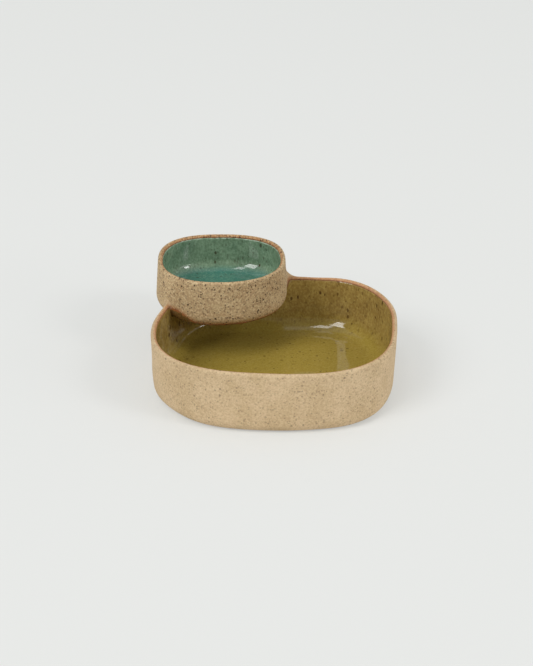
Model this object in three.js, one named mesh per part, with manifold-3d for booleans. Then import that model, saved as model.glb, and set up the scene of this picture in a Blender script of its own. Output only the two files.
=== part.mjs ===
// Chip and dip bowl in speckled stoneware.
//
// A wide, low chip bowl carries a small dip bowl on its back left corner. The chip bowl's wall is notched there,
// the dip bowl sits in the notch, and a seam of slip and soft clay, smoothed by hand into a fillet, welds the two
// together. Three coats of glaze lie on the clay: one in each bowl, and one on the part of the dip bowl's
// underside that looks into the chip bowl. Nothing moves.
//
// The origin is the middle of the chip bowl's foot. X runs to the right, Y to the back and Z up.

import * as THREE from "three";
import { mergeVertices } from "three/addons/utils/BufferGeometryUtils.js";
import Module from "manifold-3d";

// Chip bowl, in millimetres
const CHIP_WIDTH = 220; // over the rim, left to right
const CHIP_DEPTH = 209.6; // over the rim, front to back
const CHIP_HEIGHT = 58.5;
const CHIP_WALL = 4.6;
const CHIP_FLOOR = 5.5;
const CHIP_LEAN = 1.3; // how far the wall draws in from the rim down to the heel
const CHIP_HEEL_RADIUS = 10.4; // outer edge between wall and foot
const CHIP_COVE_RADIUS = 14; // inner edge between wall and floor
const CHIP_FRONT_SQUARENESS = 2.7; // exponent of the outline: 2 is an ellipse, and more is squarer
const CHIP_BACK_SQUARENESS = 2.84;

// Hand-made departures of the chip bowl's plan from that outline. Headings and spreads are in degrees, from X
// towards Y, and amounts are shares of the half width.
const SEAT_HEADING = 128; // the back left corner, pressed in to seat the dip bowl
const SEAT_SPREAD = 47;
const SEAT_POWER = 6; // how flat the pressed stretch is and how quickly it ends
const SEAT_PRESS = 0.05;
const BACK_BULGE_HEADING = 56; // the back right corner, a little full
const BACK_BULGE_SPREAD = 11;
const BACK_BULGE = 0.014;
const SIDE_FLAT_HEADING = 29; // the back of the right side, a little flat
const SIDE_FLAT_SPREAD = 14;
const SIDE_FLAT = 0.015;

// Dip bowl, in millimetres and degrees
const DIP_WIDTH = 120.3;
const DIP_DEPTH = 120.3;
const DIP_HEIGHT = 42.9;
const DIP_WALL = 4.6;
const DIP_FLOOR = 5;
const DIP_SWELL = 1.8; // how far the wall swells out from the rim down to the heel
const DIP_HEEL_RADIUS = 9.2;
const DIP_COVE_RADIUS = 11;
const DIP_FRONT_SQUARENESS = 2.25;
const DIP_BACK_SQUARENESS = 2.6;
const DIP_AXIS_FROM_LEFT = 53.75; // from the chip bowl's left side to the dip bowl's axis
const DIP_AXIS_FROM_BACK = 30.55; // from the chip bowl's back to the dip bowl's axis
const DIP_RIM_RISE = 28.8; // from the chip bowl's rim up to the dip bowl's rim
const DIP_TURN_DEGREES = 7;

// Seam and glaze, in millimetres
const SEAM_RIGHT_RADIUS = 8; // fillet at the right end of the seam
const SEAM_LEFT_RADIUS = 4; // fillet at the left end of the seam
const SEAM_THICKNESS = 0.4; // the smear of slip that the fillet thins out to
const SEAM_ROOT = 1.5; // how deep the seam's body starts under the two surfaces, before they are cut from it
const GLAZE_THICKNESS = 0.6;
const GLAZE_DROP = 2.7; // from a rim down to the edge of the glaze inside it
const CLEARANCE = 0.3; // between neighbouring pieces

// Counts and angles of the facets
const CHIP_SIDES = 72;
const DIP_SIDES = 60;
const ARC_STEPS = 3;
const SEAM_LIP_STEPS = 8;
const SEAM_SIDE_STEPS = 8;
const SEAM_UNDER_STEPS = 14;
const SEAM_FILLET_STEPS = 4;
const UNDERSIDE_GLAZE_SHARE = 0.5; // share of the dip bowl's heel, by angle, that the underside glaze climbs
const HALVINGS = 40; // steps of the search for a meeting point
const SLOPE_STEP = 0.01; // half the distance, in millimetres, over which a slope of the plan is measured
const HALF_TURN = 180;
const MERGE_DISTANCE = 0.0001;

const UP = new THREE.Vector3(0, 0, 1);

const chip = {
  width: CHIP_WIDTH,
  depth: CHIP_DEPTH,
  height: CHIP_HEIGHT,
  wall: CHIP_WALL,
  floor: CHIP_FLOOR,
  lean: CHIP_LEAN,
  heel: CHIP_HEEL_RADIUS,
  cove: CHIP_COVE_RADIUS,
  frontSquareness: CHIP_FRONT_SQUARENESS,
  backSquareness: CHIP_BACK_SQUARENESS,
  departures: [
    { heading: SEAT_HEADING, spread: SEAT_SPREAD, power: SEAT_POWER, share: -SEAT_PRESS },
    { heading: BACK_BULGE_HEADING, spread: BACK_BULGE_SPREAD, power: 2, share: BACK_BULGE },
    { heading: SIDE_FLAT_HEADING, spread: SIDE_FLAT_SPREAD, power: 2, share: -SIDE_FLAT },
  ],
  sides: CHIP_SIDES,
};

const dip = {
  width: DIP_WIDTH,
  depth: DIP_DEPTH,
  height: DIP_HEIGHT,
  wall: DIP_WALL,
  floor: DIP_FLOOR,
  lean: -DIP_SWELL,
  heel: DIP_HEEL_RADIUS,
  cove: DIP_COVE_RADIUS,
  frontSquareness: DIP_FRONT_SQUARENESS,
  backSquareness: DIP_BACK_SQUARENESS,
  departures: [],
  sides: DIP_SIDES,
};

// The dip bowl's place on the chip bowl
const DIP_POSITION = new THREE.Vector3(
  DIP_AXIS_FROM_LEFT - CHIP_WIDTH / 2,
  CHIP_DEPTH / 2 - DIP_AXIS_FROM_BACK,
  CHIP_HEIGHT + DIP_RIM_RISE - DIP_HEIGHT,
);
const DIP_TURN = THREE.MathUtils.degToRad(DIP_TURN_DEGREES);
const DIP_PLACE = new THREE.Matrix4().makeRotationZ(DIP_TURN).setPosition(DIP_POSITION);
const DIP_HEADING = Math.atan2(DIP_POSITION.y, DIP_POSITION.x); // its direction from the chip bowl's axis

const wasm = await Module();
wasm.setup();

// A closed geometry as a solid that can be joined and cut
function solidOf(geometry) {
  const bare = geometry.clone();
  bare.deleteAttribute("normal");
  bare.deleteAttribute("uv");
  const merged = mergeVertices(bare, MERGE_DISTANCE);
  return new wasm.Manifold(
    new wasm.Mesh({
      numProp: 3,
      vertProperties: merged.getAttribute("position").array,
      triVerts: new Uint32Array(merged.getIndex().array),
    }),
  );
}

function geometryOf(solid) {
  const { vertProperties, triVerts } = solid.getMesh();
  const geometry = new THREE.BufferGeometry();
  geometry.setAttribute("position", new THREE.BufferAttribute(vertProperties, 3));
  geometry.setIndex(new THREE.BufferAttribute(triVerts, 1));
  geometry.computeVertexNormals();
  return geometry;
}

// How far out the hand-made plan lies in a direction, as a multiple of the rounded square
function fullness(bowl, spot) {
  const heading = THREE.MathUtils.radToDeg(Math.atan2(spot.y, spot.x));
  let total = 1;
  for (const { heading: middle, spread, power, share } of bowl.departures) {
    const away = Math.abs(THREE.MathUtils.euclideanModulo(heading - middle + HALF_TURN, 2 * HALF_TURN) - HALF_TURN);
    total += share * Math.exp(-((away / spread) ** power));
  }
  return total;
}

// Plan of a bowl: nested rounded squares, each a superellipse with one exponent at the front and one at the back.
// A level is named by its half width, and this is the level that a point of the plan lies on.
function levelThrough(bowl, spot) {
  const squareness = spot.y < 0 ? bowl.frontSquareness : bowl.backSquareness;
  const across = Math.abs(spot.x) ** squareness;
  const along = Math.abs((spot.y * bowl.width) / bowl.depth) ** squareness;
  return (across + along) ** (1 / squareness) / fullness(bowl, spot);
}

// The point of a level that lies in a heading, an angle in the plan
function spotOn(bowl, level, heading) {
  const ray = new THREE.Vector2(Math.cos(heading), Math.sin(heading));
  return ray.multiplyScalar(level / levelThrough(bowl, ray));
}

// The horizontal direction square to the level at a point of it, away from the bowl's axis
function planNormal(bowl, spot) {
  const acrossStep = new THREE.Vector2(SLOPE_STEP, 0);
  const alongStep = new THREE.Vector2(0, SLOPE_STEP);
  const rise = (step) =>
    levelThrough(bowl, spot.clone().add(step)) - levelThrough(bowl, spot.clone().sub(step));
  return new THREE.Vector3(rise(acrossStep), rise(alongStep), 0).normalize();
}

// A section turned on the wheel, with each of its circles pressed into the level of the same half width
function pressed(bowl, section) {
  const turned = new THREE.LatheGeometry(section.getPoints(ARC_STEPS), bowl.sides);
  turned.rotateX(Math.PI / 2);
  const corners = turned.getAttribute("position");
  for (let i = 0; i < corners.count; i += 1) {
    const spot = new THREE.Vector2(corners.getX(i), corners.getY(i));
    const radius = spot.length();
    if (radius > 0) {
      spot.multiplyScalar(radius / levelThrough(bowl, spot));
      corners.setXY(i, spot.x, spot.y);
    }
  }
  turned.computeVertexNormals();
  return turned;
}

// Half width of a bowl's outside at a height above its foot
function outsideAt(bowl, height) {
  const heelTop = bowl.width / 2 - bowl.lean;
  const lipStart = bowl.height - bowl.wall / 2;
  if (height < bowl.heel) {
    const drop = bowl.heel - height;
    return heelTop - bowl.heel + Math.sqrt(bowl.heel ** 2 - drop ** 2);
  }
  return heelTop + (bowl.lean * (height - bowl.heel)) / (lipStart - bowl.heel);
}

// How far a bowl's outside faces down at a height above its foot, as an angle: none on the wall, a right angle at
// the foot
function tiltAt(bowl, height) {
  return Math.asin(Math.max(0, 1 - height / bowl.heel));
}

// Lines of the sections. Each runs on from the end of the section so far, a margin outside the clay.
function drawFootAndHeel(section, bowl, margin) {
  const heelCentre = bowl.width / 2 - bowl.lean - bowl.heel;
  section.moveTo(0, -margin);
  section.lineTo(heelCentre, -margin);
  section.absarc(heelCentre, bowl.heel, bowl.heel + margin, -Math.PI / 2, 0, false);
}

function drawCoveAndFloor(section, bowl, margin) {
  const coveCentre = bowl.width / 2 - bowl.lean - bowl.wall - bowl.cove;
  section.absarc(coveCentre, bowl.floor + bowl.cove, bowl.cove - margin, 0, -Math.PI / 2, true);
  section.lineTo(0, bowl.floor + margin);
}

// The clay of a bowl: flat foot, rounded heel, wall, full round lip and coved inside
function claySection(bowl, margin) {
  const lip = bowl.wall / 2;
  const section = new THREE.Path();
  drawFootAndHeel(section, bowl, margin);
  section.absarc(bowl.width / 2 - lip, bowl.height - lip, lip + margin, 0, Math.PI, false);
  drawCoveAndFloor(section, bowl, margin);
  return section;
}

// The whole space that a bowl takes, filled to its rim
function filledSection(bowl, margin) {
  const section = new THREE.Path();
  drawFootAndHeel(section, bowl, margin);
  section.lineTo(bowl.width / 2 + margin, bowl.height);
  section.lineTo(0, bowl.height);
  return section;
}

// The space inside a bowl, a margin off its clay, open to the top
function hollowSection(bowl, margin) {
  const coveCentre = bowl.width / 2 - bowl.lean - bowl.wall - bowl.cove;
  const section = new THREE.Path();
  section.moveTo(0, bowl.floor + margin);
  section.lineTo(coveCentre, bowl.floor + margin);
  section.absarc(coveCentre, bowl.floor + bowl.cove, bowl.cove - margin, -Math.PI / 2, 0, false);
  section.lineTo(bowl.width / 2 - bowl.wall - margin, bowl.height);
  section.lineTo(0, bowl.height);
  return section;
}

// A coat of glaze on the inside of a bowl, up to its glaze line
function insideGlazeSection(bowl) {
  const coveCentre = bowl.width / 2 - bowl.lean - bowl.wall - bowl.cove;
  const clayFace = CLEARANCE;
  const glazeFace = CLEARANCE + GLAZE_THICKNESS;
  const top = bowl.height - GLAZE_DROP;
  const wallFace = outsideAt(bowl, top) - bowl.wall;
  const section = new THREE.Path();
  section.moveTo(0, bowl.floor + clayFace);
  section.lineTo(coveCentre, bowl.floor + clayFace);
  section.absarc(coveCentre, bowl.floor + bowl.cove, bowl.cove - clayFace, -Math.PI / 2, 0, false);
  section.lineTo(wallFace - clayFace, top);
  section.lineTo(wallFace - glazeFace, top);
  drawCoveAndFloor(section, bowl, glazeFace);
  return section;
}

// A coat of glaze on the foot of a bowl and the lower share of its heel
function undersideGlazeSection(bowl) {
  const heelCentre = bowl.width / 2 - bowl.lean - bowl.heel;
  const clayFace = CLEARANCE;
  const glazeFace = CLEARANCE + GLAZE_THICKNESS;
  const foot = -Math.PI / 2;
  const edge = foot * (1 - UNDERSIDE_GLAZE_SHARE);
  const section = new THREE.Path();
  section.moveTo(0, -glazeFace);
  section.lineTo(heelCentre, -glazeFace);
  section.absarc(heelCentre, bowl.heel, bowl.heel + glazeFace, foot, edge, false);
  section.absarc(heelCentre, bowl.heel, bowl.heel + clayFace, edge, foot, true);
  section.lineTo(0, -clayFace);
  return section;
}

// A point of the chip bowl's plan in the dip bowl's own plan
function inDipPlan(spot) {
  const middle = new THREE.Vector2();
  const corner = new THREE.Vector2(DIP_POSITION.x, DIP_POSITION.y);
  return spot.clone().sub(corner).rotateAround(middle, -DIP_TURN);
}

// The heading, on one side of the dip bowl, where a level of the chip bowl meets a level of the dip bowl. The side
// is 1 for the left and -1 for the right.
function meetingHeading(side, chipLevel, dipLevel) {
  let inside = DIP_HEADING;
  let outside = DIP_HEADING + (side * Math.PI) / 2;
  for (let i = 0; i < HALVINGS; i += 1) {
    const middle = (inside + outside) / 2;
    const spot = inDipPlan(spotOn(chip, chipLevel, middle));
    if (levelThrough(dip, spot) < dipLevel) {
      inside = middle;
    } else {
      outside = middle;
    }
  }
  return inside;
}

// One station of the seam: a point that lies on both bowls, the outward normals of both there, and the fillet's
// radius. The roll turns the chip bowl's normal over its lip, from 0 on the outside to pi on the inside.
function seamStation(heading, chipLevel, height, roll, radius) {
  const spot = spotOn(chip, chipLevel, heading);
  const dipSpot = inDipPlan(spot);
  const tilt = tiltAt(dip, height - DIP_POSITION.z);
  const chipNormal = planNormal(chip, spot).multiplyScalar(Math.cos(roll));
  chipNormal.addScaledVector(UP, Math.sin(roll));
  const dipNormal = planNormal(dip, dipSpot).applyAxisAngle(UP, DIP_TURN).multiplyScalar(Math.cos(tilt));
  dipNormal.addScaledVector(UP, -Math.sin(tilt));
  return { point: new THREE.Vector3(spot.x, spot.y, height), chipNormal, dipNormal, radius };
}

function seamRadius(side) {
  return side > 0 ? SEAM_LEFT_RADIUS : SEAM_RIGHT_RADIUS;
}

// The chip bowl's face that a roll of 0 or pi stands for, at a height
function faceLevel(roll, height) {
  return outsideAt(chip, height) - (roll > 0 ? chip.wall : 0);
}

// Down one side of the dip bowl on a face of the chip bowl's wall, from its lip to the dip bowl's foot
function seamSide(side, roll) {
  const top = CHIP_HEIGHT - CHIP_WALL / 2 - DIP_POSITION.z;
  const stations = [];
  for (let i = 0; i <= SEAM_SIDE_STEPS; i += 1) {
    const rise = top * (1 - Math.sin(((Math.PI / 2) * i) / SEAM_SIDE_STEPS));
    const height = DIP_POSITION.z + rise;
    const level = faceLevel(roll, height);
    const heading = meetingHeading(side, level, outsideAt(dip, rise));
    stations.push(seamStation(heading, level, height, roll, seamRadius(side)));
  }
  return stations;
}

// Over the chip bowl's lip at one side of the dip bowl, from the outside to the inside
function seamOverLip(side) {
  const lip = CHIP_WALL / 2;
  const stations = [];
  for (let i = 1; i < SEAM_LIP_STEPS; i += 1) {
    const roll = (Math.PI * i) / SEAM_LIP_STEPS;
    const height = CHIP_HEIGHT - lip + lip * Math.sin(roll);
    const level = CHIP_WIDTH / 2 - lip + lip * Math.cos(roll);
    const heading = meetingHeading(side, level, outsideAt(dip, height - DIP_POSITION.z));
    stations.push(seamStation(heading, level, height, roll, seamRadius(side)));
  }
  return stations;
}

// Under the dip bowl's foot along a face of the chip bowl's wall, from right to left
function seamUnder(roll) {
  const height = DIP_POSITION.z;
  const level = faceLevel(roll, height);
  const right = meetingHeading(-1, level, outsideAt(dip, 0));
  const left = meetingHeading(1, level, outsideAt(dip, 0));
  const stations = [];
  for (let i = 1; i < SEAM_UNDER_STEPS; i += 1) {
    const share = i / SEAM_UNDER_STEPS;
    const heading = THREE.MathUtils.lerp(right, left, share);
    const radius = THREE.MathUtils.lerp(seamRadius(-1), seamRadius(1), share);
    stations.push(seamStation(heading, level, height, roll, radius));
  }
  return stations;
}

// The seam's closed path: up the right side outside, over the lip, down inside, under the dip bowl to the left, up
// inside, over the lip, down outside and back under the dip bowl.
function seamPath() {
  return [
    ...seamSide(-1, 0).reverse(),
    ...seamOverLip(-1),
    ...seamSide(-1, Math.PI),
    ...seamUnder(Math.PI),
    ...seamSide(1, Math.PI).reverse(),
    ...seamOverLip(1).reverse(),
    ...seamSide(1, 0),
    ...seamUnder(0).reverse(),
  ];
}

// Cross section of the seam at a station: a root under both surfaces and a hollow face that is an arc tangent to
// both, all grown by a margin
function seamSection({ point, chipNormal, dipNormal, radius }, margin) {
  const alongChip = dipNormal.clone().addScaledVector(chipNormal, -dipNormal.dot(chipNormal)).normalize();
  const alongDip = chipNormal.clone().addScaledVector(dipNormal, -chipNormal.dot(dipNormal)).normalize();
  const opening = alongChip.angleTo(alongDip);
  const towardsCentre = alongChip.clone().add(alongDip).normalize();
  const centre = point.clone().addScaledVector(towardsCentre, radius / Math.sin(opening / 2));
  const faceRadius = radius - CLEARANCE - SEAM_THICKNESS - margin;
  const normalsApart = chipNormal.angleTo(dipNormal);
  const axis = chipNormal.clone().cross(dipNormal).normalize();
  const corners = [
    point.clone().addScaledVector(chipNormal, -SEAM_ROOT).addScaledVector(dipNormal, -SEAM_ROOT),
    centre.clone().addScaledVector(chipNormal, -radius - SEAM_ROOT).addScaledVector(alongChip, margin),
    centre.clone().addScaledVector(chipNormal, -faceRadius).addScaledVector(alongChip, margin),
  ];
  for (let i = 0; i <= SEAM_FILLET_STEPS; i += 1) {
    const normal = chipNormal.clone().applyAxisAngle(axis, (normalsApart * i) / SEAM_FILLET_STEPS);
    corners.push(centre.clone().addScaledVector(normal, -faceRadius));
  }
  corners.push(centre.clone().addScaledVector(dipNormal, -faceRadius).addScaledVector(alongDip, margin));
  corners.push(centre.clone().addScaledVector(dipNormal, -radius - SEAM_ROOT).addScaledVector(alongDip, margin));
  return corners;
}

// A closed ring of cross sections, each joined to the next
function loftRing(sections) {
  const size = sections[0].length;
  const positions = sections.flat().flatMap((corner) => corner.toArray());
  const triangles = [];
  sections.forEach((section, s) => {
    const here = s * size;
    const next = ((s + 1) % sections.length) * size;
    for (let i = 0; i < size; i += 1) {
      const j = (i + 1) % size;
      triangles.push(here + i, here + j, next + i);
      triangles.push(here + j, next + j, next + i);
    }
  });
  const geometry = new THREE.BufferGeometry();
  geometry.setAttribute("position", new THREE.Float32BufferAttribute(positions, 3));
  geometry.setIndex(triangles);
  return geometry;
}

function seamRing(margin) {
  return solidOf(loftRing(seamPath().map((station) => seamSection(station, margin))));
}

// The space of the dip bowl in the chip bowl's frame, a margin wider than its clay
function dipSpace(margin) {
  return solidOf(pressed(dip, filledSection(dip, margin)).applyMatrix4(DIP_PLACE));
}

function chipBowl() {
  const whole = solidOf(pressed(chip, claySection(chip, 0)));
  return geometryOf(whole.subtract(dipSpace(CLEARANCE)));
}

function chipBowlGlaze() {
  const whole = solidOf(pressed(chip, insideGlazeSection(chip)));
  return geometryOf(whole.subtract(dipSpace(CLEARANCE)).subtract(seamRing(CLEARANCE)));
}

function dipUndersideGlaze() {
  const coat = solidOf(pressed(dip, undersideGlazeSection(dip)).applyMatrix4(DIP_PLACE));
  const chipHollow = solidOf(pressed(chip, hollowSection(chip, GLAZE_THICKNESS + CLEARANCE + CLEARANCE)));
  return geometryOf(coat.intersect(chipHollow).subtract(seamRing(CLEARANCE)));
}

function joinSeam() {
  const chipClay = solidOf(pressed(chip, claySection(chip, CLEARANCE)));
  return geometryOf(seamRing(0).subtract(chipClay).subtract(dipSpace(CLEARANCE)));
}

// Materials
const bareClay = { color: 0xc8a97f, roughness: 0.92, metalness: 0 };
const shadedClay = { color: 0xb3936b, roughness: 0.92, metalness: 0 };
const oliveGlaze = { color: 0x8a7a38, roughness: 0.12, metalness: 0 };
const tealGlaze = { color: 0x4d8770, roughness: 0.12, metalness: 0 };

function piece(name, geometry, finish) {
  const mesh = new THREE.Mesh(geometry, new THREE.MeshStandardMaterial(finish));
  mesh.name = name;
  return mesh;
}

// The dip bowl and its glaze are made about the middle of the dip bowl's foot and placed together.
const dipPieces = new THREE.Group();
dipPieces.position.copy(DIP_POSITION);
dipPieces.rotation.z = DIP_TURN;
dipPieces.add(piece("dip_bowl", pressed(dip, claySection(dip, 0)), bareClay));
dipPieces.add(piece("dip_bowl_glaze", pressed(dip, insideGlazeSection(dip)), tealGlaze));

const chipAndDipBowl = new THREE.Group();
chipAndDipBowl.name = "chip_and_dip_bowl";
chipAndDipBowl.add(piece("chip_bowl", chipBowl(), bareClay));
chipAndDipBowl.add(piece("chip_bowl_glaze", chipBowlGlaze(), oliveGlaze));
chipAndDipBowl.add(piece("join_seam", joinSeam(), shadedClay));
chipAndDipBowl.add(piece("dip_underside_glaze", dipUndersideGlaze(), oliveGlaze));
chipAndDipBowl.add(dipPieces);

export default chipAndDipBowl;
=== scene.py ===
# %% [markdown]
# # Chip and dip bowl in speckled stoneware
#
# A low chip bowl carries a small dip bowl on its back left corner. The outside is bare sand-coloured clay
# with fine dark specks. Inside, the chip bowl is glazed olive and the dip bowl teal green.
#
# The CAD model fixes every size and place. This lesson dresses it: each plain solid gives way to a finer
# one with soft welds, rounded glaze edges, the small unevenness of hand work and the finish of the real
# thing.

import math
from types import SimpleNamespace

import bmesh
import bpy
import numpy as np
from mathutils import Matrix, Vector


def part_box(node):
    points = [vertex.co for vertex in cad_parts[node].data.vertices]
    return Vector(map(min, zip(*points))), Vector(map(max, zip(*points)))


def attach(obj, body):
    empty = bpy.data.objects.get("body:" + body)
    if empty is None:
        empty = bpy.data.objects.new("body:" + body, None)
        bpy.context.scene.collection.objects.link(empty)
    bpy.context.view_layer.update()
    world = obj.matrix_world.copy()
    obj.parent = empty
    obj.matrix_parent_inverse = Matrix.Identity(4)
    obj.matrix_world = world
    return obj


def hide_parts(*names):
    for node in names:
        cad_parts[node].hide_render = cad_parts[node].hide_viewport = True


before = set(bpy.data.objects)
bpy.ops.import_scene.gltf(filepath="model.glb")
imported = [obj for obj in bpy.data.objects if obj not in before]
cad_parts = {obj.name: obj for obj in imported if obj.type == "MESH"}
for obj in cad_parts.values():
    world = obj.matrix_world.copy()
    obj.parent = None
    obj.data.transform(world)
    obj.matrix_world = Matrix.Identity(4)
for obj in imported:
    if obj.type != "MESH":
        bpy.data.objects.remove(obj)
scene = bpy.context.scene
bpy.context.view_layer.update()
print("nodes of the frame:", ", ".join(sorted(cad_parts)))

# %% [markdown]
# ## The camera
#
# The photograph looks down at the bowls from the front and slightly from the right. A real photographer's
# place can be found by fitting: the two rims are known curves, so only one camera shows them as the
# photograph does. The camera comes first, because every later choice is judged through it.

# %% Set the camera
MM = 0.001
AIM = Vector((-5.69, -25.46, 58.4)) * MM
CAMERA_DISTANCE = 1.239
CAMERA_TILT = math.radians(26.2)  # how far it looks down
CAMERA_SIDE = math.radians(4.36)  # how far it stands to the right of the front
SENSOR_HEIGHT, LENS = 36, 75.68  # in mm; together they are the photograph's field of view


def placed(name, data):
    """A new object of the scene."""
    made = bpy.data.objects.new(name, data)
    scene.collection.objects.link(made)
    return made


camera_data = bpy.data.cameras.new("camera")
camera_data.sensor_fit = "VERTICAL"
camera_data.sensor_height = SENSOR_HEIGHT
camera_data.lens = LENS
camera = placed("camera", camera_data)
to_camera = Vector((
    math.cos(CAMERA_TILT) * math.sin(CAMERA_SIDE),
    -math.cos(CAMERA_TILT) * math.cos(CAMERA_SIDE),
    math.sin(CAMERA_TILT),
))
camera.location = AIM + to_camera * CAMERA_DISTANCE
camera.rotation_euler = to_camera.to_track_quat("Z", "Y").to_euler()
scene.camera = camera
print("camera stands at", tuple(round(value, 3) for value in camera.location))

# %% [markdown]
# ## The two bowls in numbers
#
# A thrown bowl is round, and these two were paddled into rounded squares. Both facts can be kept apart: a
# section drawn as radius and height says how the wall, heel and floor run, and a plan says how each circle
# of the wheel is pressed into a rounded square. The plan is a superellipse, |x|^n + |y|^n = w^n. With n = 2
# it is an ellipse, and it gets squarer as n grows. Where the potter's hand left it, as at the corner that
# is pressed in to seat the dip bowl, the plan departs from that by a share. These few numbers hold the
# whole shape, and are the CAD model's own.

# %% Sizes, in millimetres
chip = SimpleNamespace(
    width=220, depth=209.6, height=58.5, wall=4.6, floor=5.5, lean=1.3, heel=10.4, cove=14,
    front=2.7, back=2.84, place=np.zeros(3), turn=0.0,
    # heading, spread, power and share of each stretch that departs from the rounded square
    departures=((128, 47, 6, -0.05), (56, 11, 2, 0.014), (29, 14, 2, -0.015)),
)
dip = SimpleNamespace(
    width=120.3, depth=120.3, height=42.9, wall=4.6, floor=5, lean=-1.8, heel=9.2, cove=11,
    front=2.25, back=2.6, place=np.array((-56.25, 74.25, 44.4)), turn=math.radians(7),
    departures=(),
)
for bowl in (chip, dip):
    bowl.lip_start, bowl.lip_middle = bowl.height - bowl.wall / 2, bowl.width / 2 - bowl.wall / 2
    bowl.heel_centre = bowl.width / 2 - bowl.lean - bowl.heel
    bowl.cove_centre = bowl.width / 2 - bowl.lean - bowl.wall - bowl.cove
    bowl.cove_top = bowl.floor + bowl.cove


def fullness(bowl, x, y):
    """How far out the hand-made plan lies in a direction, as a multiple of the rounded square."""
    heading = np.degrees(np.arctan2(y, x))
    total = np.ones(np.shape(heading))
    for middle, spread, power, share in bowl.departures:
        away = np.abs((heading - middle + 180) % 360 - 180)
        total += share * np.exp(-((away / spread) ** power))
    return total


def level(bowl, x, y):
    """Half width of the rounded square that passes through a point of the bowl's own plan."""
    power = np.where(y < 0, bowl.front, bowl.back)
    across = np.abs(x)
    along = np.abs(y) * bowl.width / bowl.depth
    largest = np.maximum(np.maximum(across, along), 1e-9)
    square = largest * ((across / largest) ** power + (along / largest) ** power) ** (1 / power)
    return square / fullness(bowl, x, y)


for name, bowl in (("chip bowl", chip), ("dip bowl", dip)):
    corner = level(bowl, np.array(1.0), np.array(1.0)) / math.sqrt(2)
    print(f"{name}: {bowl.width} by {bowl.depth} mm, its corners reach {1 / corner:.3f} of the half width")

# %% [markdown]
# ## Sections
#
# The section of a pot is what a potter's rib draws: flat foot, rounded heel, wall, lip and coved inside. It
# is built from arcs and lines with a set spacing, so that curves get many points and straight walls few.

# %% Draw a section
SPACING, LIP_SPACING = 1.5, 0.45  # between points of a section, and round its lip


def arc(centre, radius, start, end, spacing):
    count = max(3, math.ceil(abs(end - start) * radius / spacing) + 1)
    angle = np.linspace(start, end, count)
    return np.column_stack((centre[0] + radius * np.cos(angle), centre[1] + radius * np.sin(angle)))


def run(start, end, spacing):
    count = max(2, math.ceil(math.dist(start, end) / spacing) + 1)
    return np.linspace(start, end, count)


def join(*stretches):
    """One line of points from several, without a point twice."""
    points = np.concatenate(stretches)
    fresh = np.ones(len(points), dtype=bool)
    fresh[1:] = np.linalg.norm(np.diff(points, axis=0), axis=1) > 1e-6
    return points[fresh]


def outer_face(bowl, top, spacing, inset=0):
    """Foot, heel and outer wall up to a height, an inset inside the real surface."""
    heel = arc((bowl.heel_centre, bowl.heel), bowl.heel - inset, -math.pi / 2, 0, spacing)
    share = (top - bowl.heel) / (bowl.lip_start - bowl.heel)
    wall_top = (bowl.width / 2 - inset - bowl.lean * (1 - share), top)
    return join(run((0, inset), heel[0], 3 * spacing), heel, run(heel[-1], wall_top, 1.5 * spacing))


def inner_face(bowl, top, spacing):
    """Floor, cove and inner wall up to a height."""
    cove = arc((bowl.cove_centre, bowl.cove_top), bowl.cove, -math.pi / 2, 0, spacing)
    share = (top - bowl.cove_top) / (bowl.lip_start - bowl.cove_top)
    wall_top = (bowl.width / 2 - bowl.wall - bowl.lean * (1 - share), top)
    return join(run((0, bowl.floor), cove[0], 2 * spacing), cove, run(cove[-1], wall_top, spacing))


def clay_section(bowl):
    lip = arc((bowl.lip_middle, bowl.lip_start), bowl.wall / 2, 0, math.pi, LIP_SPACING)
    outside, inside = (face(bowl, bowl.lip_start, SPACING) for face in (outer_face, inner_face))
    return join(outside, lip, inside[::-1])


def filled_section(bowl, inset):
    """The whole space of a bowl up to its rim."""
    face = outer_face(bowl, bowl.height, SPACING, inset)
    return join(face, run(face[-1], (0, bowl.height), 3 * SPACING))


chip_section = clay_section(chip)
dip_section = clay_section(dip)
print("points of the clay sections:", len(chip_section), len(dip_section))

# %% [markdown]
# ## Turning a section into a bowl
#
# The usual ways are a Screw modifier for a round pot, or a box with rounded corners. Neither gives a wall
# that leans and a plan that is squarer at the back. Here the section is turned to each heading in code, and
# its radius is scaled so that every circle lands on its rounded square. The result is a grid, closed over
# the axis.

# %% Press a section into a bowl
def turned(points, angle):
    c, s = math.cos(angle), math.sin(angle)
    x, y, z = np.moveaxis(points, -1, 0)
    return np.stack((c * x - s * y, s * x + c * y, z), axis=-1)


def to_own(bowl, points):
    """From the frame's axes to the bowl's own."""
    return turned(points - bowl.place, -bowl.turn)


def pressed(bowl, section, headings):
    """Points of the frame, one row for each heading and one column for each point of the section."""
    x, y = np.cos(headings), np.sin(headings)
    scale = 1 / level(bowl, x, y)
    radius, height = section[:, 0], section[:, 1]
    points = np.stack((
        (x * scale)[:, None] * radius,
        (y * scale)[:, None] * radius,
        np.broadcast_to(height, (len(headings), len(height))),
    ), axis=-1)
    return turned(points, bowl.turn) + bowl.place


def cells_of(number):
    """Corners of the cells of a grid of point numbers, whose last row meets its first."""
    after = np.roll(number, -1, axis=0)
    return np.stack((number[:, :-1], after[:, :-1], after[:, 1:], number[:, 1:]), axis=-1)


def closed_grid(points):
    """Vertices and faces of a turned grid whose first and last column are single points on the axis."""
    body = points[:, 1:-1].reshape(-1, 3)
    vertices = np.concatenate((body, points[:1, 0], points[:1, -1]))
    number = np.arange(len(body)).reshape(len(points), -1)
    after = np.roll(number, -1, axis=0)
    start = [(len(body), b, a) for a, b in zip(number[:, 0], after[:, 0])]
    end = [(len(body) + 1, a, b) for a, b in zip(number[:, -1], after[:, -1])]
    return vertices, cells_of(number).reshape(-1, 4).tolist() + start + end


READINGS = 20001  # round a bowl, to add up how many headings are due
FINE_REACH = 0.2  # radians to each side of a heading that is drawn more finely


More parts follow.
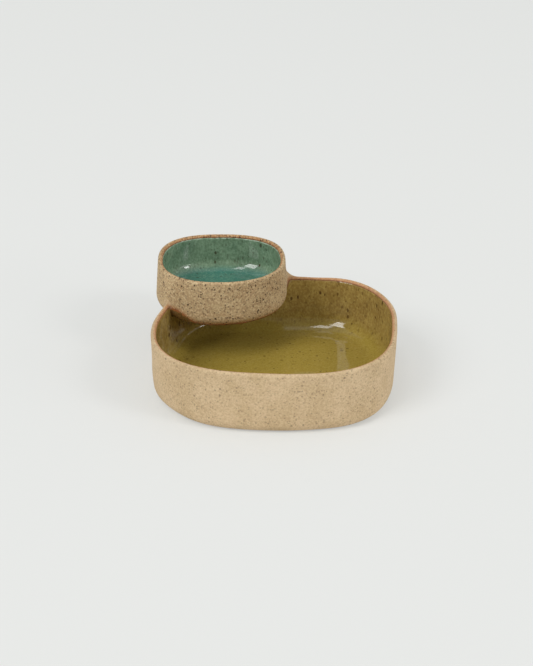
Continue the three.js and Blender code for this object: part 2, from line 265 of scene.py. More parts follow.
def headings_for(bowl, spacing, fine_at=(), fine_spacing=None):
    """Headings as far apart as the spacing at the rim, and closer near some of them."""
    angle = np.linspace(-math.pi, math.pi, READINGS)
    density = np.full(len(angle), bowl.width / 2 / spacing)
    for middle in fine_at:
        away = np.abs((angle - middle + math.pi) % math.tau - math.pi)
        density += bowl.width / 2 * (1 / fine_spacing - 1 / spacing) * np.exp(-((away / FINE_REACH) ** 4))
    total = np.concatenate(((0,), np.cumsum((density[1:] + density[:-1]) / 2 * np.diff(angle))))
    count = math.ceil(total[-1])
    return np.interp(np.arange(count) * total[-1] / count, total, angle)


chip_grid = pressed(chip, chip_section, headings_for(chip, 1.9))
dip_grid = pressed(dip, dip_section, headings_for(dip, 1.5))
print("grids of the clay bodies:", chip_grid.shape[:2], dip_grid.shape[:2])

# %% [markdown]
# ## How far is a point from the clay?
#
# The weld and the glaze follow the clay, so they need to know where its surface is. A point of space is
# brought into the bowl's own section, as radius and height, and there the distance to lines and arcs is
# plain geometry. It is negative inside the clay. Blender has ray casts and BVH trees for this, but on a
# mesh they return its facets, and the weld would show them.

# %% Distances from the faces of a bowl
def off_outside(bowl, radius, height):
    """Distance from a bowl that is taken as filled to its rim."""
    rise = bowl.lip_start - bowl.heel
    wall = (radius - bowl.heel_centre - bowl.heel) * rise - (height - bowl.heel) * bowl.lean
    heel = np.hypot(np.maximum(radius - bowl.heel_centre, 0), bowl.heel - height) - bowl.heel
    return np.where(height < bowl.heel, heel, wall / math.hypot(rise, bowl.lean))


def off_inside(bowl, radius, height):
    """Distance from a bowl's inner face, measured into its hollow."""
    rise = bowl.lip_start - bowl.cove_top
    wall = (bowl.cove_centre + bowl.cove - radius) * rise + (height - bowl.cove_top) * bowl.lean
    cove = bowl.cove - np.hypot(np.maximum(radius - bowl.cove_centre, 0), bowl.cove_top - height)
    return np.where(height < bowl.cove_top, cove, wall / math.hypot(rise, bowl.lean))


def off_clay(bowl, radius, height):
    lip = np.hypot(radius - bowl.lip_middle, height - bowl.lip_start) - bowl.wall / 2
    faces = np.maximum(off_outside(bowl, radius, height), off_inside(bowl, radius, height))
    return np.where(height > bowl.lip_start, lip, faces)


def in_section(bowl, points):
    """Radius and height of points in a bowl's section."""
    own = to_own(bowl, points)
    return level(bowl, own[..., 0], own[..., 1]), own[..., 2]


def off_chip(points):
    """Distance from the chip bowl's clay."""
    return off_clay(chip, *in_section(chip, points))


def off_dip(points):
    """Distance from the dip bowl, taken as filled to its rim."""
    return off_outside(dip, *in_section(dip, points))


in_wall = off_chip(np.array([[0, -102.5, 50.0]]))
print("middle of the chip bowl's wall:", in_wall.round(2), "mm off the clay")

# %% [markdown]
# ## Where the two bowls meet
#
# The dip bowl is let into a notch of the chip bowl's wall. The line where the two surfaces cross is one
# closed loop: up the right side outside, over the lip, down inside, under the dip bowl to the left, and
# back the same way. Each point of it is found by halving: walk along one face of the wall until the dip
# bowl is reached.

# %% Find the loop
RIGHT, LEFT = -1, 1
HALVINGS = 40
SIDE_STEPS, LIP_STEPS, UNDER_STEPS = 16, 12, 60
towards_dip = math.atan2(dip.place[1], dip.place[0])
foot, lip_start = dip.place[2], chip.lip_start


def spot_on_chip(half_width, heading, height):
    x, y = np.cos(heading), np.sin(heading)
    scale = half_width / level(chip, x, y)
    return np.column_stack((x * scale, y * scale, height))


def halved(low, high, holds, rounds):
    """Where a test that holds at the low end stops holding."""
    for _ in range(rounds):
        middle = (low + high) / 2
        good = holds(middle)
        low, high = np.where(good, middle, low), np.where(good, high, middle)
    return low


def meeting(side, half_width, height):
    """Headings where a level of the chip bowl meets the dip bowl's outside, on one side of it."""
    start = np.full(len(height), towards_dip)
    return halved(start, start + side * math.pi / 2,
                  lambda heading: off_dip(spot_on_chip(half_width, heading, height)) < 0, HALVINGS)


def face_half_width(inner, height):
    """Half width of the chip bowl's outer or inner wall face at a height."""
    face = (inner_face if inner else outer_face)(chip, lip_start, 1)
    return np.interp(height, face[:, 1], face[:, 0])


def down_side(side, inner):
    height = foot + (lip_start - foot) * (1 - np.sin(np.linspace(0, math.pi / 2, SIDE_STEPS + 1)))
    width = face_half_width(inner, height)
    height = np.maximum(height, foot + 1e-4)  # level with the foot there would be no crossing
    return spot_on_chip(width, meeting(side, width, height), height)


def over_lip(side):
    roll = np.linspace(0, math.pi, LIP_STEPS + 1)[1:-1]
    height = lip_start + chip.wall / 2 * np.sin(roll)
    width = chip.lip_middle + chip.wall / 2 * np.cos(roll)
    return spot_on_chip(width, meeting(side, width, height), height)


def under_foot(inner):
    ends = down_side(RIGHT, inner)[-1], down_side(LEFT, inner)[-1]
    start, end = (math.atan2(spot[1], spot[0]) for spot in ends)
    heading = np.linspace(start, end, UNDER_STEPS + 1)[1:-1]
    height = np.full(len(heading), foot)
    return spot_on_chip(face_half_width(inner, height), heading, height)


loop = np.concatenate((
    down_side(RIGHT, False)[::-1], over_lip(RIGHT), down_side(RIGHT, True), under_foot(True),
    down_side(LEFT, True)[::-1], over_lip(LEFT)[::-1], down_side(LEFT, False), under_foot(False)[::-1],
))
right_end, left_end = over_lip(RIGHT).mean(axis=0), over_lip(LEFT).mean(axis=0)
print("loop of", len(loop), "points; it crosses the lip at", right_end.round(1), "and", left_end.round(1))

# %% [markdown]
# ## The weld
#
# The potter fills the corner with soft clay and draws a finger along it, which leaves an arc between both
# walls, wide at the right end and tight at the left. In Blender a Bevel modifier needs clean edges, and the
# two crossing bowls have none. So the weld is a piece of its own, a ring laid along the loop. Each cross
# section is found by search: a point of the arc lies a known distance off each bowl.

# %% Lay the weld along the loop
WELD_RIGHT, WELD_LEFT = 8.0, 4.0  # radius of the hollow
WELD_OUTSIDE = 5.0  # how much wider it is outside at the right end
OUTSIDE_SHARE = 1.6  # how soon across the wall it has widened: at 1 only at the outer face
ARC_STEPS = 12
WELD_ROOT = 1.2  # how deep the weld's hidden sides lie in the clay
RUN_OUT = ((-WELD_ROOT, 1.2), (-0.12, 1.2), (-0.03, 0.5))  # height over a face, and travel past the arc
SEARCH_STEPS, SEARCH_STRIDE, SEARCH_PROBE = 12, 1.5, 0.02  # rounds, longest move and test move in mm
SLOPE_STEP = 0.05  # half the length over which a slope is measured, in mm


def smooth_step(start, end, value):
    share = np.clip((value - start) / (end - start), 0, 1)
    return share * share * (3 - 2 * share)


def weld_radius(points):
    """Radius of the weld's hollow: wide at the right end, most of all outside, and tight at the left."""
    across = (left_end - right_end)[:2]
    travel = ((points[..., :2] - right_end[:2]) * across).sum(axis=-1)
    beyond = in_section(chip, points)[0] - (chip.width / 2 - chip.wall)
    wide = WELD_RIGHT + WELD_OUTSIDE * smooth_step(0, chip.wall / OUTSIDE_SHARE, beyond)
    return wide + (WELD_LEFT - wide) * smooth_step(0, (across ** 2).sum(), travel)


def unit(vectors):
    return vectors / np.linalg.norm(vectors, axis=-1, keepdims=True)


def slope(distance, points):
    """Direction in which a distance grows fastest."""
    steps = SLOPE_STEP * np.eye(3)
    return unit(np.stack([distance(points + step) - distance(points - step) for step in steps], axis=-1))


along = unit(np.roll(loop, -1, axis=0) - np.roll(loop, 1, axis=0))
off_chip_wall, off_dip_wall = slope(off_chip, loop), slope(off_dip, loop)
rim_way = slope(lambda points: level(chip, points[:, 0], points[:, 1]), loop)
rim_way = np.cross((0, 0, 1), rim_way)
rim_way *= np.sign((rim_way * off_dip_wall).sum(axis=1, keepdims=True))


def square_to_loop(direction):
    return unit(direction - (direction * along).sum(axis=1, keepdims=True) * along)


# Over the lip the cross sections follow the rim, and elsewhere they stand square to the loop.
on_lip = (loop[:, 2] > lip_start + 1e-6)[:, None]
off_chip_wall = np.where(on_lip, off_chip_wall, square_to_loop(off_chip_wall))
off_dip_wall = np.where(on_lip, rim_way, square_to_loop(off_dip_wall))


def off_both(points):
    return np.stack((off_chip(points), off_dip(points)), axis=1)


def weld_row(shares, extras=(0.0, 0.0)):
    """One line of the weld: off each bowl by a share of the hollow's radius and some extra."""
    reach = np.zeros((len(loop), 2))
    for _ in range(SEARCH_STEPS):
        spot = loop + reach[:, :1] * off_chip_wall + reach[:, 1:] * off_dip_wall
        goal = weld_radius(spot)[:, None] * np.array(shares) + np.array(extras)
        here = off_both(spot)
        probes = [off_both(spot + SEARCH_PROBE * way) for way in (off_chip_wall, off_dip_wall)]
        slopes = np.stack([(probe - here) / SEARCH_PROBE for probe in probes], axis=2)
        move = np.linalg.solve(slopes, (goal - here)[..., None])[..., 0]
        reach += np.clip(move, -SEARCH_STRIDE, SEARCH_STRIDE)
    return loop + reach[:, :1] * off_chip_wall + reach[:, 1:] * off_dip_wall


rows = [weld_row((0, 1), (over, past)) for over, past in RUN_OUT]
angles = np.linspace(0, math.pi / 2, ARC_STEPS + 1)
rows += [weld_row((1 - math.cos(angle), 1 - math.sin(angle))) for angle in angles]
rows += [weld_row((1, 0), (past, over)) for over, past in reversed(RUN_OUT)]
rows.append(weld_row((0, 0), (-WELD_ROOT, -WELD_ROOT)))
weld_rows = np.stack(rows, axis=1)
print("weld:", weld_rows.shape[:2], "points, reaching", weld_rows.reshape(-1, 3).min(axis=0).round(1),
      "to", weld_rows.reshape(-1, 3).max(axis=0).round(1))

# %% [markdown]
# ## Where the olive glaze ends
#
# The potter pours the glaze into the chip bowl and wipes the lip clean, so the glaze stops a little under
# the lip. At the left end of the weld the brush ran on along the dip bowl's wall and left a wedge of glaze
# that tapers off to the front. At the right end the wiped edge turns down in the hollow of the weld.
# Underneath, the glaze covers the dip bowl's foot and half of its heel.
#
# One function says how far inside the glaze a point is, in millimetres, and it is negative on bare clay.
# The coat uses it for its thickness, and the clay next to it for its toasted edge, so the two always meet.

# %% Measure from the glaze line
GLAZE_DROP = 2.7  # from a lip down to the glaze line
BARE_IN_WELD = 3.2  # bare clay between the dip bowl's wall and the glaze at the right end of the weld
HEEL_LINE = 2.0  # where the glaze ends on the dip bowl's heel, as travel up its section
WEDGE_LINE = 11.6  # where it ends on the wall at the left end of the weld
WEDGE_FROM, WEDGE_TO = math.radians(-131), math.radians(-110)  # headings between which the wedge tapers off
WEDGE_BLEND, RIM_BLEND = 1.0, 4.0  # how widely two glaze lines round into each other
WEDGE_WAVER, RIM_WAVER = 0.2, 0.13  # how unsteady the hand was
RISE_BY_DIP = 1.6  # how much higher the line runs next to the dip bowl, except near the weld's right end


def smooth_least(a, b, width):
    """The lesser of two values, with the corner between them rounded off."""
    share = np.clip(0.5 + 0.5 * (b - a) / width, 0, 1)
    return b + (a - b) * share - width * share * (1 - share)


def waver(angle, size, seed):
    """A hand's unsteadiness round a bowl: a few slow waves that close on themselves."""
    slow, quick = np.sin(3 * angle + seed), np.sin(13 * angle + seed)
    return size * (slow + 0.7 * np.sin(7 * angle + 2.1 * seed) + 0.4 * quick)


def inside_olive(points):
    own = to_own(dip, points)
    turn = np.arctan2(own[:, 1], own[:, 0])
    past_heel = np.maximum(level(dip, own[:, 0], own[:, 1]) - dip.heel_centre, 1e-6)
    under = np.arctan2(dip.heel - own[:, 2], past_heel)
    travel = np.where(own[:, 2] > dip.heel, own[:, 2], dip.heel - dip.heel * np.maximum(under, 0))
    wedge = HEEL_LINE + (WEDGE_LINE - HEEL_LINE) * (1 - smooth_step(WEDGE_FROM, WEDGE_TO, turn))
    wedge = np.where(turn > math.radians(90), WEDGE_LINE, wedge) + waver(turn, WEDGE_WAVER, 1.3)
    by_dip = -smooth_least(BARE_IN_WELD - off_dip(points), travel - wedge, WEDGE_BLEND)
    from_right_end = smooth_step(10, 30, np.linalg.norm(points - right_end, axis=1))
    rise = RISE_BY_DIP * from_right_end * smooth_step(7, 1, off_dip(points))
    rim = chip.height - GLAZE_DROP + rise + waver(np.arctan2(points[:, 1], points[:, 0]), RIM_WAVER, 0.4)
    return smooth_least(rim - points[:, 2], by_dip, RIM_BLEND)


def inside_teal(points):
    own = to_own(dip, points)
    return dip.height - GLAZE_DROP + waver(np.arctan2(own[:, 1], own[:, 0]), RIM_WAVER, 2.2) - own[:, 2]


# %% [markdown]
# ## Hand work
#
# No edge of a hand-built pot is quite true. In Blender this can be a Displace modifier on each piece, but
# then the pieces part at their joints. Here all pieces go through the same gentle bending of space: a few
# named touches, each where the photograph shows a lean wall, a worn lip or a bowl that sags.

# %% Bend every piece alike
TOUCHES = (  # place, reach and push, each in mm to the right, back and up
    ((-85, -76, 4), (30, 26, 12), (2.0, 1.4, 0.2)),  # the heel at the front left is lean
    ((44, -99, 4), (32, 18, 12), (0.0, 1.9, 0.1)),  # and so is the front, a little right of the middle
    ((-110, -22, 20), (12, 44, 13), (-0.9, 0, 0)),  # the left side bellies out low down
    ((-108, 24, 52), (14, 24, 14), (0.7, 0, 0)),  # and is drawn in by the rim
    ((104, 42, 50), (15, 27, 24), (0.9, 0.2, 0)),  # the right side is full by the rim and leaner below
    ((107, -45, 13), (12, 30, 13), (-0.7, 0, 0)),
    ((32, 104.5, 59), (20, 4.5, 8), (0, -0.3, -1.7)),  # the back lip is worn down on its outer half
    ((-56, 74, 92), (90, 90, 24), (1.0, 0, -0.3)),  # the dip bowl leans to the right
    ((-22, 128, 90), (40, 34, 20), (0, 0, -1.1)),  # and its back right is low
    ((6, 86, 66), (10, 16, 7), (1.5, 0, 0)),  # its wall flares out above the weld
    ((-58, 18, 44), (40, 20, 8), (0, 0, -1.9)),  # its foot sags at the front
)
TIGHTEN = 0.9992  # keeps these finer curves inside the CAD model's facets
OFF_GROUND = 0.02  # what isn't the foot stays this far above the ground


def by_hand(points):
    """Each touch pushes at its place and fades out with distance."""
    moved = points * (TIGHTEN, TIGHTEN, 1)
    for place, reach, push in TOUCHES:
        away = (points - np.array(place)) / reach
        moved += np.exp(-(away ** 2).sum(axis=1))[:, None] * np.array(push)
    moved[:, 2] = np.where(points[:, 2] <= 0, points[:, 2], np.maximum(moved[:, 2], OFF_GROUND))
    return moved


# %% [markdown]
# ## The clay bodies
#
# The chip bowl's wall must not show inside the dip bowl, so it is notched. The cut runs through the middle
# of the dip bowl's wall, where nobody sees it. A Boolean modifier does this well here: both meshes are
# closed, and the cut is hidden, so the long faces that it leaves don't matter.

# %% Make a mesh and cut the notch
def new_object(name, vertices, faces):
    mesh = bpy.data.meshes.new(name)
    mesh.from_pydata((vertices * MM).tolist(), [], faces)
    mesh.validate()
    work = bmesh.new()
    work.from_mesh(mesh)
    bmesh.ops.recalc_face_normals(work, faces=work.faces)
    work.to_mesh(mesh)
    work.free()
    return placed(name, mesh)


def places_of(mesh):
    flat = np.empty(len(mesh.vertices) * 3)
    mesh.vertices.foreach_get("co", flat)
    return flat.reshape(-1, 3) / MM


def cut(piece, tool):
    """Take the tool's space from the piece and delete the tool."""
    modifier = piece.modifiers.new("notch", "BOOLEAN")
    modifier.operation = "DIFFERENCE"
    modifier.solver = "EXACT"
    modifier.object = tool
    depsgraph = bpy.context.evaluated_depsgraph_get()
    piece.data = bpy.data.meshes.new_from_object(piece.evaluated_get(depsgraph))
    piece.modifiers.clear()
    bpy.data.objects.remove(tool)


chip_clay = new_object("chip_bowl_clay", *closed_grid(chip_grid))
notch = pressed(dip, filled_section(dip, dip.wall / 2), headings_for(dip, 2))
cut(chip_clay, new_object("notch", *closed_grid(notch)))
dip_clay = new_object("dip_bowl_clay", *closed_grid(dip_grid))
number = np.arange(weld_rows.shape[0] * weld_rows.shape[1]).reshape(weld_rows.shape[:2])
beside = np.roll(number, -1, axis=1)
weld_faces = np.stack((number, beside, np.roll(beside, -1, axis=0), np.roll(number, -1, axis=0)), axis=-1)
weld = new_object("weld", weld_rows.reshape(-1, 3), weld_faces.reshape(-1, 4).tolist())
for piece in (chip_clay, dip_clay, weld):
    print(piece.name, len(piece.data.polygons), "faces")

# %% [markdown]
# ## The coats of glaze
#
# A coat of glaze is a skin about a third of a millimetre thick with a rounded edge. A Solidify modifier
# gives a square edge of full thickness. Here the skin is a grid that follows the clay and is lifted off it
# by a thickness that depends on the distance from the glaze line. Beyond the line the skin sinks under the
# clay, and its visible edge is as smooth as the line itself. Glaze that ran down in the fire lies thicker
# in the cove between wall and floor, and softens the bend there.

# %% Lift a coat off the clay
COAT = 0.38  # full thickness, in mm
COAT_EDGE = 0.9  # width over which the coat rounds down to the clay
COAT_SINK = 0.3  # how steeply it dives past the line
COAT_ROOT = 0.6  # how deep its hidden side lies under the clay
POOLED = 1.0  # how much thicker it pools in the coves
POOL_TURN, POOL_REACH = math.radians(40), 0.6  # where in a cove it pools, and how widely
LIP_TURN = 1.0  # how far round the lip a coat's grid runs on, in radians


def coat_lift(inside):
    share = np.clip(inside / COAT_EDGE, -1.5, 1)
    rounded = np.sqrt(np.maximum(1 - (1 - np.maximum(share, 0)) ** 2, 0))
    return np.where(share > 0, rounded * COAT, share * COAT_SINK)


def pooled(bowl, points):
    """Extra thickness of the glaze that ran together between the wall and the floor of a bowl."""
    radius, height = in_section(bowl, points)
    across, down = bowl.cove * math.cos(POOL_TURN), bowl.cove * math.sin(POOL_TURN)
    away = np.hypot(radius - (bowl.cove_centre + across), height - (bowl.cove_top - down))
    return POOLED * np.exp(-(away / (POOL_REACH * bowl.cove)) ** 2)


def grid_normals(points, side):
    """Normals of a turned grid that starts on the axis. The side is 1 outside and -1 inside."""
    round_way = np.roll(points, -1, axis=0) - np.roll(points, 1, axis=0)
    out_way = np.gradient(points, axis=1)
    normals = side * np.cross(round_way, out_way)
    normals[:, 0] = normals[:, 1].mean(axis=0)
    return unit(normals)


def skin(top, root, kept):
    """A closed skin between two grids, of the kept cells only. A grid's first column is one point."""
    turns, columns = top.shape[:2]
    size = turns * columns
    corners = cells_of(np.arange(size).reshape(turns, columns))
    faces = [*corners[kept], *(corners[kept][:, ::-1] + size)]
    open_side = (
        (kept & ~np.roll(kept, 1, axis=0), 3, 0),
        (kept & ~np.roll(kept, -1, axis=0), 1, 2),
        (kept & ~np.pad(kept, ((0, 0), (0, 1)))[:, 1:], 2, 3),
    )
    for cells, a, b in open_side:
        edge = corners[cells]
        faces += [(q[b], q[a], q[a] + size, q[b] + size) for q in edge]
    faces = np.array(faces)
    first = faces % size % columns == 0
    faces = np.where(first, faces // size * size, faces)
    vertices = np.concatenate((top.reshape(-1, 3), root.reshape(-1, 3)))
    used, faces = np.unique(faces, return_inverse=True)
    clean = [list(dict.fromkeys(face)) for face in faces.reshape(-1, 4).tolist()]
    return vertices[used], [face for face in clean if len(face) > 2]


def open_section(face, bowl):
    """A face that runs on over the lip."""
    lip = arc((bowl.lip_middle, bowl.lip_start), bowl.wall / 2, math.pi, math.pi - LIP_TURN, 0.4)
    return join(face, lip)


def refined(face, height, spacing):
    """A face with more points above a height."""
    below, above = face[face[:, 1] <= height], face[face[:, 1] > height]
    return join(below, run(below[-1], above[-1], spacing))


dip_inside = refined(inner_face(dip, dip.lip_start, 1.2), dip.height - 7, 0.4)
teal_base = pressed(dip, open_section(dip_inside, dip), headings_for(dip, 1.4))
teal_normals = grid_normals(teal_base, -1)
teal_lift = coat_lift(inside_teal(teal_base.reshape(-1, 3))).reshape(teal_base.shape[:2])
teal_lift = teal_lift + pooled(dip, teal_base)
every_cell = np.ones((teal_base.shape[0], teal_base.shape[1] - 1), dtype=bool)
teal = new_object("dip_bowl_glaze_coat", *skin(
    teal_base + teal_normals * teal_lift[..., None], teal_base - teal_normals * COAT_ROOT, every_cell))
print("teal coat:", len(teal.data.polygons), "faces")

# %% [markdown]
# ## The olive coat over the weld
#
# The olive coat runs from the chip bowl's wall over the weld onto the dip bowl. Two skins share the work,
# one on each bowl, and they meet in the middle of the weld's hollow. Each point of a skin is moved out
# along its normal until it lies on the rounded corner. Past the middle a skin dives under its neighbour, so
# neither edge shows.

# %% Settle a skin onto the weld
MIDDLE = 1 - math.sqrt(0.5)  # where the middle of the hollow lies off both faces, as a share of its radius
LOWEST, HIGHEST, SETTLINGS = -2.0, 12.0, 26  # the search along a normal, in mm, and its halvings


def hollow(other, radius):
    """How far the weld stands off one face, at a distance off the other face."""
    middle = MIDDLE * radius
    near = np.clip(other, middle, radius)
    rounded = radius - np.sqrt(np.maximum(near * (2 * radius - near), 0))
    return rounded + COAT_SINK * np.maximum(middle - other, 0)


def settled(base, normals, own, other):
    """Points of a grid moved out onto the coat, over clay and weld alike."""
    points, ways = base.reshape(-1, 3), normals.reshape(-1, 3)
    lift = coat_lift(inside_olive(points))
    near = other(points) < WELD_RIGHT + 2  # within reach of the weld

    def too_low(out):
        spot = points[near] + ways[near] * out[:, None]
        coat = coat_lift(inside_olive(spot))
        return own(spot) < coat + hollow(other(spot) - coat, weld_radius(spot) - coat)

    low, high = np.full(near.sum(), LOWEST), np.full(near.sum(), HIGHEST)
    lift[near] = halved(low, high, too_low, SETTLINGS)
    return (points + ways * lift[:, None]).reshape(base.shape)


def cells_where(corner_is_good, columns):
    """Cells of a grid with at least one good corner."""
    good = corner_is_good.reshape(-1, columns)
    good = good | np.roll(good, -1, axis=0)
    return good[:, :-1] | good[:, 1:]


def olive_coat(name, base, side, own, other, allowed):
    normals = grid_normals(base, side)
    top = settled(base, normals, own, other)
    top = top + normals * pooled(chip, top)[..., None]
    points = top.reshape(-1, 3)
    kept = cells_where(inside_olive(points) > -COAT_EDGE, base.shape[1])
    kept &= ~cells_where(~allowed(points), base.shape[1])
    made = new_object(name, *skin(top, base - COAT_ROOT * normals, kept))
    print(name, len(made.data.polygons), "faces,", int(kept.sum()), "cells of", kept.size)
    return made


right_heading = math.atan2(right_end[1], right_end[0])
left_heading = math.atan2(left_end[1], left_end[0])
chip_face = refined(inner_face(chip, lip_start, 1.4), chip.height - 9, 0.45)
chip_base = pressed(chip, open_section(chip_face, chip),
                    headings_for(chip, 1.9, (right_heading, left_heading), 0.6))
chip_coat = olive_coat("chip_bowl_glaze_coat", chip_base, -1, off_chip, off_dip,
                       lambda points: off_dip(points) > -WELD_ROOT)

dip_base = pressed(dip, outer_face(dip, 17, 0.7), headings_for(dip, 0.9))
wall_middle = chip.lip_middle - chip.lean
under_coat = olive_coat(
    "dip_underside_glaze_coat", dip_base, 1, off_dip, off_chip,
    lambda points: (off_chip(points) > -WELD_ROOT) & (in_section(chip, points)[0] < wall_middle))

# %% [markdown]
# ## What the finish needs to know
#
# Clay toasts to a warm orange where it runs along a glaze, most of all on the lips. A material can't see
# the glaze, but a mesh can carry a number at each point. So each piece stores its distance from the glaze
# line in millimetres: outward on the clay, inward on the glaze. Then the pieces are bent by hand and put in
# place of the CAD's solids.

# %% Store distances, bend and ride
FAR = 50.0  # a distance at which clay shows nothing of the glaze
ABOVE_RIM = 12  # how far above a bowl's rim its inside still counts
OVER_LIP, LIP_LEVEL = 2, 3  # what the way over a lip adds, and how far past its middle it adds nothing more
WELD_TOP, SPARED = 62, 1.4  # under this height the dip bowl's wall toasts less, as if this much farther off


def bare_gap(points):
    """Distance of bare clay from the glaze line. Outside, the way goes up the wall and over the lip."""
    gap = np.full(len(points), FAR)
    for bowl, inside in ((chip, inside_olive), (dip, inside_teal)):
        radius, height = in_section(bowl, points)
        within = (radius < bowl.lip_middle) & (height < bowl.height + ABOVE_RIM)
        within &= off_outside(bowl, radius, height) < -bowl.wall / 2.5  # and not on the outer face
        over = GLAZE_DROP + OVER_LIP + np.maximum(bowl.height - height, 0)
        over = over + np.maximum(radius - bowl.lip_middle - LIP_LEVEL, 0)
        near_glaze = (bowl is chip) | ((radius > bowl.lip_middle - bowl.wall) & (height > 0))
        this = np.where(within & near_glaze, -inside(points), np.where(within, FAR, over))
        gap = np.minimum(gap, np.maximum(this, 0))
    on_dip_wall = (off_dip(points) < 0.5) & (points[:, 2] < WELD_TOP)
    return np.where(on_dip_wall, SPARED * gap, gap)


def dress(piece, distance, slot, *nodes):
    """Store the distance, bend the piece, and let it stand for nodes of the CAD model."""
    mesh = piece.data
    places = places_of(mesh)
    stored = mesh.attributes.new("gap", "FLOAT", "POINT")
    stored.data.foreach_set("value", distance(places).astype(np.float32))
    mesh.vertices.foreach_set("co", (by_hand(places) * MM).ravel())
    mesh.polygons.foreach_set("use_smooth", np.ones(len(mesh.polygons), dtype=bool))
    mesh.set_sharp_from_angle(angle=math.radians(50))
    mesh.update()
    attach(piece, "root")
    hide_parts(*nodes)
    low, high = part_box(nodes[0])
    print(f"{piece.name}: {len(mesh.polygons)} faces; {nodes[0]} is {(high - low) / MM} mm,",
          "the piece", np.ptp(places_of(mesh), axis=0).round(1))


for piece, node in ((chip_clay, "chip_bowl"), (dip_clay, "dip_bowl"), (weld, "join_seam")):
    dress(piece, bare_gap, "bare_stoneware", node)
dress(chip_coat, inside_olive, "olive_glaze", "chip_bowl_glaze")
dress(under_coat, inside_olive, "olive_glaze", "dip_underside_glaze")
dress(teal, inside_teal, "teal_glaze", "dip_bowl_glaze")

# %% [markdown]
# ## Node helpers
#
# A material is a small graph of nodes, and so is the light of the world. Writing it link by link hides the
# idea, so a few helpers add a node, feed its inputs and return its output.

# %% Short ways to add nodes
SOFT_EDGE, FAINTEST = 0.45, 0.35  # share of a speck that fades out, and how faint a speck may be
GRAIN_LOW, GRAIN_MIDDLE, GRAIN_HIGH = 0.36, 0.5, 0.64  # a noise's values for full dark, none and full pale


class Graph:
    """The nodes of a material or of the world."""

    def __init__(self, owner):
        owner.use_nodes = True
        self.tree = owner.node_tree
        self.place = self.add("ShaderNodeTexCoord")["Object"]

    def add(self, kind, inputs=(), **settings):
        """Add a node with its settings, feed its inputs by name or number, and return its outputs."""
        node = self.tree.nodes.new(kind)
        for key, value in settings.items():
            setattr(node, key, value)
        for key, value in dict(inputs).items():
            self.feed(node.inputs[key], value)
        return node.outputs

    def feed(self, socket, value):
        if isinstance(value, bpy.types.NodeSocket):
            self.tree.links.new(value, socket)
        else:
            socket.default_value = value

    def maths(self, operation, *values, clamp=False):
        return self.add("ShaderNodeMath", enumerate(values), operation=operation, use_clamp=clamp)[0]

    def times(self, *values):
        product = values[0]
        for value in values[1:]:
            product = self.maths("MULTIPLY", product, value)
        return product

    def between(self, value, low, high, to_low=0.0, to_high=1.0):
        """Map a value's range to another along an S curve, with both ends held."""
        names = ("Value", "From Min", "From Max", "To Min", "To Max")
        values = (value, low, high, to_low, to_high)
        return self.add("ShaderNodeMapRange", zip(names, values), interpolation_type="SMOOTHSTEP")["Result"]

    def height_mm(self):
        return self.maths("MULTIPLY", self.add("ShaderNodeSeparateXYZ", {0: self.place})["Z"], 1 / MM)

    def gap(self):
        """The stored distance from the glaze line, in millimetres."""
        return self.add("ShaderNodeAttribute", attribute_name="gap")["Fac"]

    def stretched(self, along_z):
        """The place, with its height scaled: below 1 it draws a texture out into upright streaks."""
        return self.add("ShaderNodeMapping", {"Vector": self.place, "Scale": (1, 1, along_z)})["Vector"]

    def noise(self, size_mm, detail=2.0, vector=None, roughness=0.5, output="Fac"):
        inputs = {"Vector": vector or self.place, "Scale": 1 / (size_mm * MM)}
        return self.add("ShaderNodeTexNoise", {**inputs, "Detail": detail, "Roughness": roughness})[output]

    def sway(self, size_mm, amount):
        """A noise that swings to both sides of zero."""
        return self.maths("MULTIPLY", self.maths("SUBTRACT", self.noise(size_mm, 3), 0.5), amount)

    def wobbled(self, size_mm, amount_mm, vector=None):
        """A place pushed about by noise, so that what is drawn with it has ragged outlines."""
        push, reach = self.noise(size_mm, vector=vector, output="Color"), 2 * amount_mm * MM
        return self.add("ShaderNodeVectorMath", enumerate((push, (reach,) * 3, vector or self.place)),
                        operation="MULTIPLY_ADD")[0]

    def specks(self, spacing_mm, largest_mm, rarity, vector=None):
        """Specks of many sizes and strengths. The higher the rarity, the fewer are large."""
        vector = vector or self.wobbled(1.1, 0.35)
        cell = self.add("ShaderNodeTexVoronoi", {"Vector": vector, "Scale": 1 / (spacing_mm * MM)})
        chance = self.add("ShaderNodeSeparateColor", {0: cell["Color"]})
        size = self.maths("MULTIPLY", self.maths("POWER", chance[0], rarity), largest_mm / spacing_mm / 2)
        inner = self.maths("MULTIPLY", size, 1 - SOFT_EDGE)
        strength = self.between(chance[1], 0.0, 1.0, FAINTEST, 1.0)
        return self.times(self.between(cell["Distance"], inner, size, 1.0, 0.0), strength)

    def mix(self, share, under, over):
        return self.add("ShaderNodeMix", {0: share, 6: under, 7: over}, data_type="RGBA")[2]

    def grainy(self, colour, grain, dark, dark_share, pale, pale_share, weight=1.0):
        """Add dark where a noise is low and pale where it is high."""
        low = self.between(grain, GRAIN_LOW, GRAIN_MIDDLE, dark_share, 0.0)
        high = self.between(grain, GRAIN_MIDDLE, GRAIN_HIGH, 0.0, pale_share)
        return self.mix(self.times(weight, high), self.mix(self.times(weight, low), colour, dark), pale)

    def bump(self, height, size_mm, strength, before=None):
        inputs = {"Height": height, "Distance": size_mm * MM, "Strength": strength}
        if before is not None:
            inputs["Normal"] = before
        return self.add("ShaderNodeBump", inputs)["Normal"]


class Finish(Graph):
    """A material under construction."""

    def __init__(self, name):
        self.material = bpy.data.materials.new(name)
        super().__init__(self.material)
        self.shader = self.tree.nodes["Principled BSDF"]

    def surface(self, inputs):
        for key, value in inputs.items():
            self.feed(self.shader.inputs[key], value)
        return self.material


